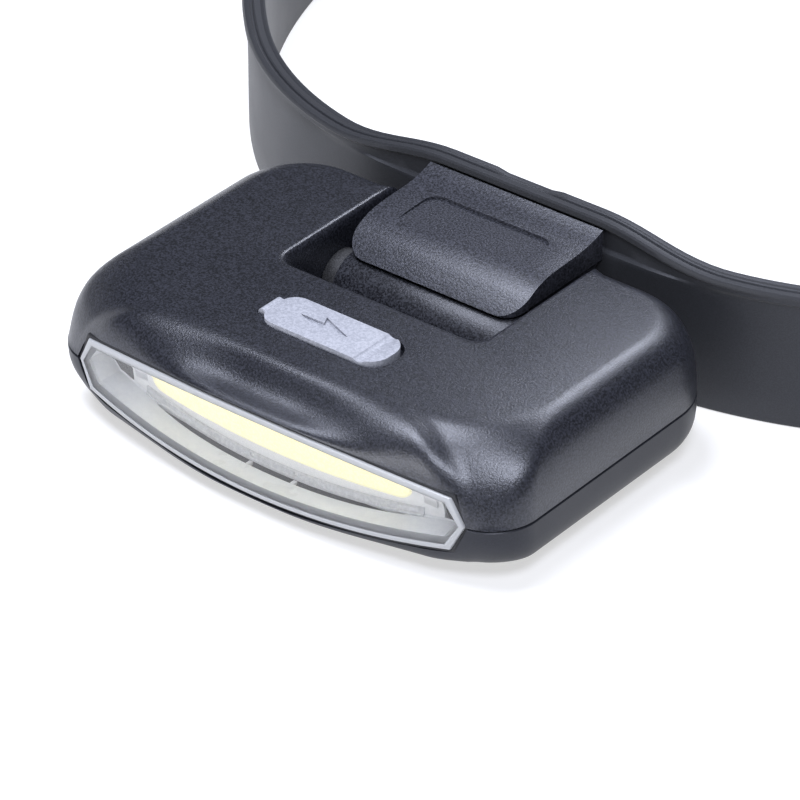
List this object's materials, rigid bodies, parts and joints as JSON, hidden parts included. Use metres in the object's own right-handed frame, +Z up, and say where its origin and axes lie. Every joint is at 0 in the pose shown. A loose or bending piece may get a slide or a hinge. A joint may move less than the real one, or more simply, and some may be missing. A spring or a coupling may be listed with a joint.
{
  "type": "headlamp",
  "caption": "Rechargeable headlamp with one long light source, a flat casing that tilts on a bracket, a covered charging port and a silicone headband.",
  "frame": {"origin": "middle of the headband's flat inner face behind the bracket, level with the casing's parting line", "axes": "+Z up with the lamp level and the band standing on its edge, the light shines along -Y, +Y points into the head, X runs across"},
  "size_m": [0.1562, 0.2185, 0.0203],
  "materials": {
    "casing_grained": "fine matte grain",
    "casing_smooth": "satin",
    "lens_clear": "clear with a frosted rim",
    "seal_black": "matte",
    "reflector_grey": "satin",
    "board_white": "solder mask",
    "phosphor": "smooth silicone",
    "aluminium_bare": "satin",
    "screw_steel": "satin",
    "board_green": "solder mask",
    "chip_black": "matte",
    "socket_steel": "satin",
    "light_pipe": "diffuse",
    "cell_foil": "foil",
    "foam_black": "matte",
    "lead_red": "smooth",
    "plug_ivory": "smooth",
    "lead_black": "smooth",
    "cover_grey": "smooth matte",
    "button_rubber": "matte",
    "ring_grey": "satin",
    "pin_steel": "satin",
    "washer_black": "matte",
    "bracket_black": "satin",
    "bracket_grained": "fine matte grain",
    "band_silicone": "matte silicone",
    "peg_black": "satin"
  },
  "bodies": {
    "headband": {"headband": "band_silicone", "band_pegs": "peg_black", "bracket_arm": "bracket_black", "bracket_cover": "bracket_grained", "bracket_screws": "screw_steel", "hinge_pin": "pin_steel"},
    "lamp": {"upper_shell": "casing_grained", "lower_shell": "casing_smooth", "lens": "lens_clear", "lens_gasket": "seal_black", "reflector": "reflector_grey", "led_board": "board_white", "led_strip": "phosphor", "heat_sink": "aluminium_bare", "case_gasket": "seal_black", "case_screws": "screw_steel", "main_board": "board_green", "board_chips": "chip_black", "usb_socket": "socket_steel", "tact_switch": "chip_black", "charge_light": "light_pipe", "battery_cells": "cell_foil", "battery_pads": "foam_black", "battery_leads": "lead_red", "battery_plug": "plug_ivory", "led_leads": "lead_black", "button_ring": "ring_grey", "friction_washers": "washer_black"},
    "usb_cover": {"usb_cover": "cover_grey"},
    "power_button": {"power_button": "button_rubber"}
  },
  "joints": [
    {"name": "lamp_tilt", "type": "hinge", "parent": "headband", "child": "lamp", "pos_m": [0, -0.0178, 0.0015], "axis": [-1, 0, 0], "range_deg": [0, 75]},
    {"name": "usb_cover_open", "type": "hinge", "parent": "lamp", "child": "usb_cover", "pos_m": [-0.0084, -0.0372, 0.0089], "axis": [0, -1, 0], "range_deg": [0, 110]},
    {"name": "power_button_press", "type": "slide", "parent": "lamp", "child": "power_button", "axis": [0, 0, 1], "range_m": [0, 0.0006], "stiffness_N_per_m": 2500}
  ]
}
